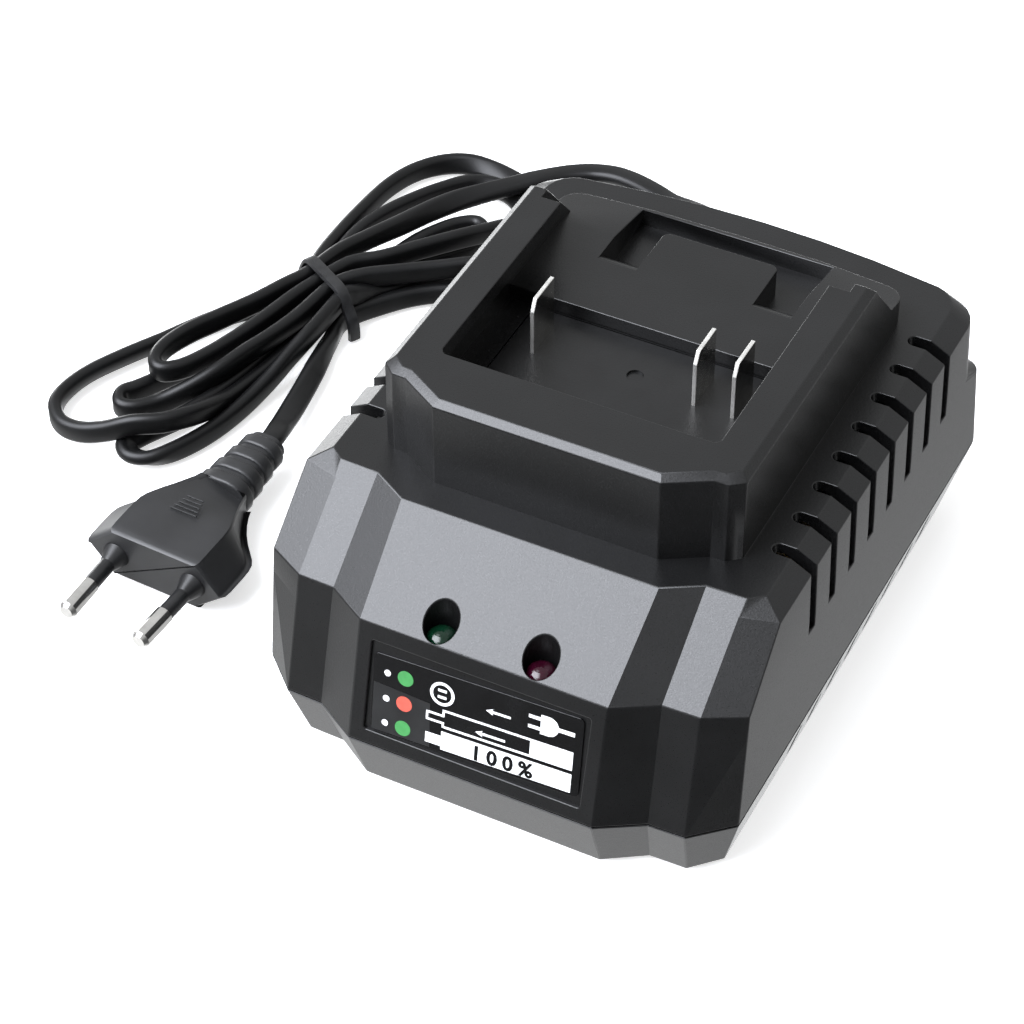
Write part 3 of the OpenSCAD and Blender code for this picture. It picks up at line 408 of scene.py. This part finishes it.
# The front's facets: in front of FRONT_END, further from the middle than FACETS_FROM_X
FRONT_END = -33 * MM
FACETS_FROM_X = 20 * MM
FACET_AREA = 20 * MM ** 2
FACET_SLANT = 0.2
# Diagonal of a warped facet: its turn in degrees and its least length
WARP_FROM = 0.7
WARP_TO = 12.0
DIAGONAL_FROM = 15 * MM
# Signs of a torn rounding, in widths of the rounding, and the turn of a face that has folded over
TORN_FROM = 0.75
TEAR_REACH = 1.8
FOLDED = -0.1


def copied_solid(node):
    """Editable solid of a CAD node, with its flat faces merged."""
    solid = bmesh.new()
    solid.from_mesh(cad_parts[node].data)
    bmesh.ops.remove_doubles(solid, verts=solid.verts, dist=MERGE_DISTANCE)
    bmesh.ops.dissolve_limit(solid, angle_limit=math.radians(FLAT_TO), verts=solid.verts, edges=solid.edges)
    solid.edges.index_update()
    return solid


def torn_places(trial, surface, width):
    """Points where a rounding has left the old surface or folded over."""
    places = [v.co.copy() for v in trial.verts if surface.find_nearest(v.co)[3] > TORN_FROM * width]
    for face in trial.faces:
        middle = face.calc_center_median()
        if face.normal.dot(surface.find_nearest(middle)[1]) < FOLDED:
            places.append(middle)
    return places


def near_node(edge, node, margin):
    """Whether the middle of an edge is in the box of a node."""
    low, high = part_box(node)
    middle = (edge.verts[0].co + edge.verts[1].co) / 2
    return all(low[i] - margin < middle[i] < high[i] + margin for i in range(3))


def is_in_facets(edge):
    a, b = edge.verts[0].co, edge.verts[1].co
    return max(a.y, b.y) < FRONT_END and min(abs(a.x), abs(b.x)) > FACETS_FROM_X


def is_facet_edge(edge):
    """Whether an edge runs up the body's front, between two of its facets."""
    across = abs(edge.verts[0].co.x - edge.verts[1].co.x)
    return is_in_facets(edge) and across < FACET_SLANT * edge.calc_length()


def join_facets(solid):
    """Joins the two triangles of each slightly warped facet of the body's front."""
    diagonals = []
    for edge in solid.edges:
        turn = math.degrees(edge.calc_face_angle(0))
        is_diagonal = is_in_facets(edge) and not is_facet_edge(edge) and edge.calc_length() > DIAGONAL_FROM
        if is_diagonal and WARP_FROM < turn < WARP_TO:
            diagonals.append(edge)
    bmesh.ops.dissolve_edges(solid, edges=diagonals, use_verts=False)
    solid.edges.index_update()


def rounded_solid(node, width, crisp_from, seated):
    """Solid of a CAD node with its outward edges rounded, apart from those with no room for it.

    Edges that turn by less than crisp_from degrees are shaded smooth, and those between that and
    ROUNDED_FROM stay crisp and aren't rounded. The seat of the node named seated isn't rounded.
    """
    solid = copied_solid(node)
    join_facets(solid)
    surface = BVHTree.FromBMesh(solid)
    skipped = {e.index for e in solid.edges if seated and near_node(e, seated, 2 * width)}
    for last in [False] * ROUNDING_TRIES + [True]:
        trial = solid.copy()
        rounded = []
        for edge in trial.edges:
            turn = edge.calc_face_angle(0)
            edge.smooth = turn < math.radians(FACET_FROM if is_facet_edge(edge) else crisp_from)
            if edge.is_convex and turn > math.radians(ROUNDED_FROM) and edge.index not in skipped:
                edge.smooth = True
                rounded.append(edge)
        middles = [(e.index, e.verts[0].co.copy(), e.verts[1].co.copy()) for e in rounded]
        bmesh.ops.bevel(trial, geom=rounded, offset=width, offset_type="OFFSET", segments=ROUNDING_STEPS,
                        profile=0.5, affect="EDGES", clamp_overlap=False, mark_sharp=True)
        trial.normal_update()
        torn = torn_places(trial, surface, width)
        if last or not torn:
            break
        for place in torn:
            for index, a, b in middles:
                near = geometry.intersect_point_line(place, a, b)
                t = min(max(near[1], 0), 1)
                if (place - a.lerp(b, t)).length < TEAR_REACH * width:
                    skipped.add(index)
        trial.free()
    solid.free()
    return trial


def rounded_copy(name, node, width, material, crisp_from=ROUNDED_FROM, seated=None):
    """Piece that stands for a CAD node: its solid with rounded edges and even shading."""
    trial = rounded_solid(node, width * MM, crisp_from, seated)
    mesh = bpy.data.meshes.new(name)
    for layer in list(trial.loops.layers.uv):
        trial.loops.layers.uv.remove(layer)
    for face in trial.faces:
        in_front = max(v.co.y for v in face.verts) < FRONT_END
        face.smooth = not (in_front and face.calc_area() > FACET_AREA)
    trial.to_mesh(mesh)
    trial.free()
    if "custom_normal" in mesh.attributes:
        mesh.attributes.remove(mesh.attributes["custom_normal"])
    piece = add_object(name, mesh, material, (node,))
    weighted = piece.modifiers.new("even_shading", "WEIGHTED_NORMAL")
    weighted.keep_sharp = True
    return piece


# ---- plug -----------------------------------------------------------------------------------------
PLUG_AT = (-88.6, -38.0, 6.85)
PLUG_TURN = -2.0
PLUG_STATIONS = [
    # y, half width, half width of the flat, half thickness, corner radius
    (0.0, 16.6, 10.1, 6.0, 0.5), (0.25, 16.85, 10.4, 6.25, 0.6), (0.8, 17.35, 10.7, 6.6, 0.8),
    (2.5, 17.6, 10.8, 6.75, 0.9), (7, 17.65, 10.8, 6.75, 0.9), (9.5, 17.6, 10.8, 6.75, 1.0),
    (11.3, 17.25, 10.65, 6.75, 1.1), (12.8, 16.4, 10.3, 6.7, 1.3), (14.4, 14.9, 9.7, 6.6, 1.5),
    (16.4, 12.9, 8.9, 6.4, 1.7), (18.6, 11.1, 8.0, 6.1, 1.9), (21, 9.6, 7.1, 5.75, 2.1),
    (23.3, 8.5, 6.35, 5.35, 2.3), (25.2, 7.9, 5.9, 5.1, 2.4),
]
RELIEF_Y = 25
RELIEF_PITCH = 4.75
RELIEF_RIBS = 4
RELIEF_RIB = 0.68 * RELIEF_PITCH
RELIEF_NECK = 0.95
# Half width and half thickness of the first rib, and how much each rib is smaller than the last
RELIEF_HALF = (6.6, 4.9)
RELIEF_TAPER = (0.5, 0.35)
# Steps along one rib and how far in the section is there
RELIEF_PROFILE = [
    (0.05, 0.9), (0.06, 0.35), (0.3, 0.08), (0.7, 0), (RELIEF_RIB - 0.7, 0), (RELIEF_RIB - 0.3, 0.08),
    (RELIEF_RIB - 0.02, 0.35), (RELIEF_RIB, 0.9), (RELIEF_PITCH, RELIEF_NECK),
]
GRIPS = 5
GRIP_Y = 11.8
GRIP_PITCH = 1.15
GRIP_Z = 6.72
GRIP_DROP = 0.03
GRIP_LENGTH = 6.3
GRIP_TAPER = 0.58
GRIP_SECTION = (0.35, 0.2)


def rounded_polygon(corners, radius, arc_steps):
    """Points round a convex polygon whose corners are arcs of one radius."""
    out = []
    n = len(corners)
    for i in range(n):
        here = Vector(corners[i])
        to_last = (Vector(corners[i - 1]) - here).normalized()
        to_next = (Vector(corners[(i + 1) % n]) - here).normalized()
        half = to_last.angle(to_next) / 2
        middle = here + (to_last + to_next).normalized() * radius / math.sin(half)
        start = -to_last.cross(to_next)
        turn = math.pi - 2 * half
        first = (here + to_last * radius / math.tan(half)) - middle
        for k in range(arc_steps + 1):
            a = turn * k / arc_steps * (1 if start > 0 else -1)
            out.append(middle + Matrix.Rotation(-a, 2) @ first)
    return out


def plug_section(half_w, flat, half_t, radius):
    corners = [(half_w, 0), (flat, half_t), (-flat, half_t), (-half_w, 0), (-flat, -half_t), (flat, -half_t)]
    return rounded_polygon(corners, radius, 4)


def plug_matrix():
    return Matrix.Translation(metres(PLUG_AT)) @ Matrix.Rotation(math.radians(PLUG_TURN), 4, "Z")


def oval_ring(a, b, steps=8):
    """Oblong section: half width a, half thickness b."""
    ring = []
    for side in (1, -1):
        for k in range(steps + 1):
            t = math.radians(-90 + 180 * k / steps)
            ring.append((side * (a - b + b * math.cos(t)), side * b * math.sin(t)))
    return ring


def relief_rings():
    """Rings of the plug's ribbed tail: full ribs with rounded shoulders between narrow necks."""
    rings = []
    for i in range(RELIEF_RIBS):
        a, b = (half - i * taper for half, taper in zip(RELIEF_HALF, RELIEF_TAPER))
        for dy, inset in RELIEF_PROFILE:
            rings.append((RELIEF_Y + i * RELIEF_PITCH + dy, oval_ring(a - inset, b - inset)))
    return rings


def make_plug(material):
    place = plug_matrix()
    verts = []
    for y, half_w, flat, half_t, radius in PLUG_STATIONS:
        verts += [place @ metres((x, y, z)) for x, z in plug_section(half_w, flat, half_t, radius)]
    size = len(verts) // len(PLUG_STATIONS)
    body = mesh_from("plug_moulding", verts, ring_faces(len(PLUG_STATIONS), size), sharp_deg=40)
    for cap in body.polygons[-2:]:
        cap.use_smooth = False
    piece = add_object("plug_moulding", body, material, ("plug_body",))
    rings = relief_rings()
    verts = [place @ metres((x, y, z)) for y, ring in rings for x, z in ring]
    tail = mesh_from("plug_relief", verts, ring_faces(len(rings), len(rings[0][1])), sharp_deg=50)
    relief = add_object("plug_relief", tail, material)
    return [piece, relief] + [make_grip(i, place, material) for i in range(GRIPS)]


def make_grip(i, place, material):
    at = (0, GRIP_Y + i * GRIP_PITCH, GRIP_Z - i * GRIP_DROP)
    size = (GRIP_LENGTH - i * GRIP_TAPER, *GRIP_SECTION)
    return make_bar(f"plug_grip_{i + 1}", place, at, size, material)


def make_bar(name, place, centre, size, material):
    """Slim bar with a rounded top."""
    length, width, height = size
    section = [(-width / 2, -height), (width / 2, -height), (width * 0.4, height * 0.3), (0, height * 0.6),
               (-width * 0.4, height * 0.3)]
    verts = [place @ metres((centre[0] + side * length / 2, centre[1] + a, centre[2] + b))
             for side in (-1, 1) for a, b in section]
    mesh = mesh_from(name, verts, ring_faces(2, len(section)), sharp_deg=50)
    return add_object(name, mesh, material)


# ---- tie ------------------------------------------------------------------------------------------
TIE_AT = (-101.0, 57.0)
TIE_ANGLE = 60.0
TIE_WIDTH = 3.0
TIE_T = 1.0
TIE_OUTLINE = [
    # across the bundle, height: inner side of the band
    (11.0, 0.6), (11.1, 2.7), (10.3, 5.6), (8.8, 8.6), (7.4, 10.4), (5.4, 11.0), (0, 11.0), (-5.4, 10.9),
    (-7.2, 9.6), (-8.8, 7.2), (-10.4, 5.2), (-10.9, 2.7), (-10.8, 0.6),
]
TIE_SECTION = [
    # part of the band's width, part of its thickness
    (-0.5, 0.1), (-0.42, 0.9), (-0.2, 1.0), (0.2, 1.0), (0.42, 0.9), (0.5, 0.1), (0.3, 0), (-0.3, 0),
]


def make_tie(material):
    place = (Matrix.Translation(metres((*TIE_AT, 0)))
             @ Matrix.Rotation(math.radians(TIE_ANGLE), 4, "Z"))
    line = smooth_curve(TIE_OUTLINE, 4)
    verts = []
    count = len(line)
    for i, (v, z) in enumerate(line):
        a = Vector(line[max(i - 1, 0)])
        b = Vector(line[min(i + 1, count - 1)])
        d = (b - a).normalized()
        out = Vector((d.y, -d.x))
        for u, h in TIE_SECTION:
            p = Vector((v, z)) + out * h * TIE_T
            verts.append(place @ metres((u * TIE_WIDTH, p.x, p.y)))
    mesh = mesh_from("lead_tie", verts, ring_faces(count, len(TIE_SECTION)), sharp_deg=50)
    return add_object("lead_tie", mesh, material, ("cord_tie",))


# ---- label print and a painted reflection ---------------------------------------------------------
PANEL_TILT = 13.27
LABEL_TURN = 2.2
LABEL_T = 0.35
PRINT_T = 0.03
PRINT_LIFT = 0.03
DOT_ROWS = (4.9, -0.75, -6.25)
# Outline of the painted reflection on the label's lower left, laid as a dark grey sheet under the print
PAINTED_REFLECTION_ZONE = [(-21.6, -8.4), (-9.2, -8.4), (-9.6, 1.2), (-21.6, 2.2)]
DOT_AT_X = -15.0
DOT_R = 1.65
SMALL_DOT_AT_X = -18.8
SMALL_DOT_R = 0.68
TEXT_AT = (5.9, -6.45)
TEXT_SIZE = 4.4
TEXT_SPACING = 1.5
TEXT_BOLDNESS = 0.17


def panel_matrix():
    """Frame of the label's outer face: x to the right, y up the panel, z outwards."""
    low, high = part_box("status_label")
    centre = (low + high) / 2
    tilt = Matrix.Rotation(math.radians(90 - PANEL_TILT), 4, "X")
    turn = Matrix.Rotation(math.radians(LABEL_TURN), 4, "Z")
    face = metres((0, 0, LABEL_T / 2 + PRINT_LIFT))
    return Matrix.Translation(centre) @ tilt @ turn @ Matrix.Translation(face)


def disc(x, y, r, steps=32):
    return [(x + r * math.cos(2 * math.pi * k / steps), y + r * math.sin(2 * math.pi * k / steps))
            for k in range(steps)]


def bar(x0, x1, y0, y1):
    return [(x0, y0), (x1, y0), (x1, y1), (x0, y1)]


def arrow(x0, x1, y):
    return [(x0, y), (x0 + 1.5, y + 0.68), (x0 + 1.25, y + 0.24), (x1, y + 0.24), (x1, y - 0.24),
            (x0 + 1.25, y - 0.24), (x0 + 1.5, y - 0.68)]


def ring_shape(x, y, outer, inner, steps=40):
    """Ring as quads, so that it needs no hole."""
    quads = []
    for k in range(steps):
        a = 2 * math.pi * k / steps
        b = 2 * math.pi * (k + 1) / steps
        quads.append([(x + outer * math.cos(a), y + outer * math.sin(a)),
                      (x + outer * math.cos(b), y + outer * math.sin(b)),
                      (x + inner * math.cos(b), y + inner * math.sin(b)),
                      (x + inner * math.cos(a), y + inner * math.sin(a))])
    return quads


def white_shapes():
    plug_x = 13.2
    plug_y = 4.75
    plug_r = 2.1
    round_x = plug_x + 1.6
    half_round = [(plug_x, plug_y - plug_r), (round_x, plug_y - plug_r)]
    for a in range(-80, 81, 10):
        turn = math.radians(a)
        half_round.append((round_x + plug_r * math.cos(turn), plug_y + plug_r * math.sin(turn)))
    half_round += [(round_x, plug_y + plug_r), (plug_x, plug_y + plug_r)]
    shapes = [disc(SMALL_DOT_AT_X, y, SMALL_DOT_R) for y in DOT_ROWS]
    shapes += ring_shape(-7.2, 4.2, 2.55, 1.95)
    shapes += [bar(-8.1, -6.3, 4.65, 5.2), bar(-8.1, -6.3, 3.2, 3.75)]
    shapes += [arrow(1.95, 7.1, 3.9), half_round]
    shapes += [bar(plug_x - 2.5, plug_x, plug_y + 0.75, plug_y + 1.45)]
    shapes += [bar(plug_x - 2.5, plug_x, plug_y - 1.45, plug_y - 0.75)]
    shapes += [bar(plug_x + 3.6, 20.2, plug_y - 0.42, plug_y + 0.42)]
    line = 0.45
    shapes += [
        bar(-10.3, -10.3 + line, -2.35, -0.3), bar(-10.3, -6.9 + line, -0.3 - line, -0.3),
        bar(-10.3, -6.9 + line, -2.35, -2.35 + line), bar(-6.9, -6.9 + line, -0.3, 0.9),
        bar(-6.9, -6.9 + line, -3.15, -2.35), bar(-6.9, 11.4, 0.9 - line, 0.9),
        bar(-6.9, 11.4, -3.15, -3.15 + line),
        bar(11.4, 20.2, -3.15, 0.9), arrow(0.1, 6.3, -1.6),
        bar(-10.2, -6.9, -7.35, -5.1), bar(-6.9, 20.2, -8.05, -4.0),
    ]
    return shapes


def print_mesh(name, shapes, place):
    """Thin closed solids from flat outlines."""
    verts = []
    faces = []
    for shape in shapes:
        base = len(verts)
        n = len(shape)
        verts += [place @ metres((x, y, 0)) for x, y in shape]
        verts += [place @ metres((x, y, PRINT_T)) for x, y in shape]
        faces.append(tuple(base + k for k in range(n - 1, -1, -1)))
        faces.append(tuple(base + n + k for k in range(n)))
        faces += [(base + k, base + (k + 1) % n, base + n + (k + 1) % n, base + n + k) for k in range(n)]
    return mesh_from(name, verts, faces, smooth=False)


def make_print(materials):
    place = panel_matrix()
    top, middle, low = DOT_ROWS
    prints = [
        # Painted reflection: a dark grey sheet under the print, where the film reflects the studio
        ("label_painted_reflection_sheet", [PAINTED_REFLECTION_ZONE], "label_charcoal", -0.5),
        ("label_white_print", white_shapes(), "label_white", 0),
        ("label_green_dots", [disc(DOT_AT_X, y, DOT_R) for y in (top, low)], "label_green", 0),
        ("label_red_dot", [disc(DOT_AT_X, middle, DOT_R)], "label_red", 0),
    ]
    for name, shapes, look, lift in prints:
        layer = place @ Matrix.Translation((0, 0, lift * PRINT_T * MM))
        add_object(name, print_mesh(name, shapes, layer), materials[look])
    curve = bpy.data.curves.new("charge_text", "FONT")
    curve.body = "100%"
    curve.size = TEXT_SIZE * MM
    curve.space_character = TEXT_SPACING
    curve.align_x = "CENTER"
    curve.align_y = "CENTER"
    curve.extrude = PRINT_T / 2 * MM
    curve.offset = TEXT_BOLDNESS * MM
    curve.resolution_u = 3
    writer = bpy.data.objects.new("charge_text", curve)
    bpy.context.scene.collection.objects.link(writer)
    bpy.context.view_layer.update()
    mesh = bpy.data.meshes.new_from_object(writer.evaluated_get(bpy.context.evaluated_depsgraph_get()))
    bpy.data.objects.remove(writer)
    mesh.transform(place @ Matrix.Translation(metres((*TEXT_AT, PRINT_T * 1.6))))
    mesh.name = "label_charge_text"
    add_object("label_charge_text", mesh, materials["label_film"])


# ---- set ------------------------------------------------------------------------------------------
FLOOR_HALF = 4
FLOOR_DROP = 0.4 * MM
FLOOR_GLOW = 0.6


def make_floor():
    corners = [(x * FLOOR_HALF, y * FLOOR_HALF, 0) for x, y in ((-1, -1), (1, -1), (1, 1), (-1, 1))]
    mesh = mesh_from("floor", corners, [(0, 1, 2, 3)], smooth=False)
    floor = bpy.data.objects.new("floor", mesh)
    bpy.context.scene.collection.objects.link(floor)
    material = shader_material("pale_floor", (0.9, 0.9, 0.9), 0.9)
    vary_colour(material, 300, (0.895, 0.895, 0.895), (0.905, 0.905, 0.905))
    shader = material.node_tree.nodes["Principled BSDF"]
    shader.inputs["Emission Color"].default_value = (1, 1, 1, 1)
    shader.inputs["Emission Strength"].default_value = FLOOR_GLOW
    mesh.materials.append(material)
    floor.location.z = -FLOOR_DROP
    floor.visible_glossy = False


# Soft boxes of the studio: direction, half angle of the full and of the fading part, brightness, colour
NEUTRAL = (0.98, 0.99, 1.0)
COOL = (0.95, 0.98, 1.06)
SKY = 0.62
SOFT_BOXES = [
    ((-0.48, -0.43, 0.76), 12, 36, 12.5, COOL),
    ((-0.33, 0.65, 0.68), 20, 60, 0.12, NEUTRAL),
    ((-0.33, -0.12, -0.93), 15, 50, 0.8, NEUTRAL),
    ((0.45, -0.84, -0.3), 30, 62, -0.5, NEUTRAL),
    ((-0.78, 0.62, -0.05), 5, 13, 8.0, NEUTRAL),
    ((-0.30, 0.86, -0.42), 6, 16, 5.0, NEUTRAL),
    ((-0.06, 0.66, -0.75), 4, 13, 1.5, NEUTRAL),
]


def make_lights():
    """Even light from all round, with soft boxes that fade out at their edges."""
    world = bpy.data.worlds.new("studio")
    bpy.context.scene.world = world
    world.use_nodes = True
    nodes = world.node_tree.nodes
    links = world.node_tree.links
    place = nodes.new("ShaderNodeTexCoord")
    total = None
    for direction, inner, outer, brightness, colour in SOFT_BOXES:
        facing = nodes.new("ShaderNodeVectorMath")
        facing.operation = "DOT_PRODUCT"
        facing.inputs[1].default_value = Vector(direction).normalized()
        links.new(place.outputs["Generated"], facing.inputs[0])
        box = nodes.new("ShaderNodeMapRange")
        box.interpolation_type = "SMOOTHSTEP"
        box.inputs["From Min"].default_value = math.cos(math.radians(outer))
        box.inputs["From Max"].default_value = math.cos(math.radians(inner))
        links.new(facing.outputs["Value"], box.inputs["Value"])
        plus = nodes.new("ShaderNodeVectorMath")
        plus.operation = "MULTIPLY_ADD"
        plus.inputs[1].default_value = Vector(colour) * brightness
        plus.inputs[2].default_value = Vector(NEUTRAL) * SKY
        links.new(box.outputs["Result"], plus.inputs[0])
        if total is not None:
            links.new(total.outputs["Vector"], plus.inputs[2])
        total = plus
    links.new(total.outputs["Vector"], nodes["Background"].inputs["Color"])
    bpy.context.scene.view_settings.view_transform = "Standard"


# ---- assembly -------------------------------------------------------------------------------------
SHELL_CRISP_FROM = 16.5
BLADES = {
    "blade_minus": "terminal_negative", "blade_signal": "terminal_signal", "blade_plus": "terminal_positive",
}


def dress_nodes(materials):
    """Gives every CAD node the material of its record slot."""
    known = set(materials)
    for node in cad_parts.values():
        for i, old in enumerate(node.data.materials):
            name = old.name.split(".")[0] if old else ""
            if name in known:
                node.data.materials[i] = materials[name]
            else:
                print("no material for", node.name, name)


make_camera()
looks = make_materials()
dress_nodes(looks)
cord, cord_path = make_cord(looks["cord_pvc"])
plug_pieces = make_plug(looks["plug_pvc"])
tie = make_tie(looks["tie_plastic"])
rounded_copy("upper_housing", "upper_shell", 0.25, looks["shell_plastic"], SHELL_CRISP_FROM,
             "terminal_plate")
rounded_copy("lower_housing", "lower_shell", 0.22, looks["shell_plastic"], SHELL_CRISP_FROM)
for name, node in BLADES.items():
    rounded_copy(name, node, 0.15, looks["blade_nickel"])
rounded_copy("label_plate", "status_label", 0.08, looks["label_film"])
rounded_copy("gland", "strain_relief", 0.25, looks["cord_pvc"])
make_print(looks)
make_floor()
make_lights()
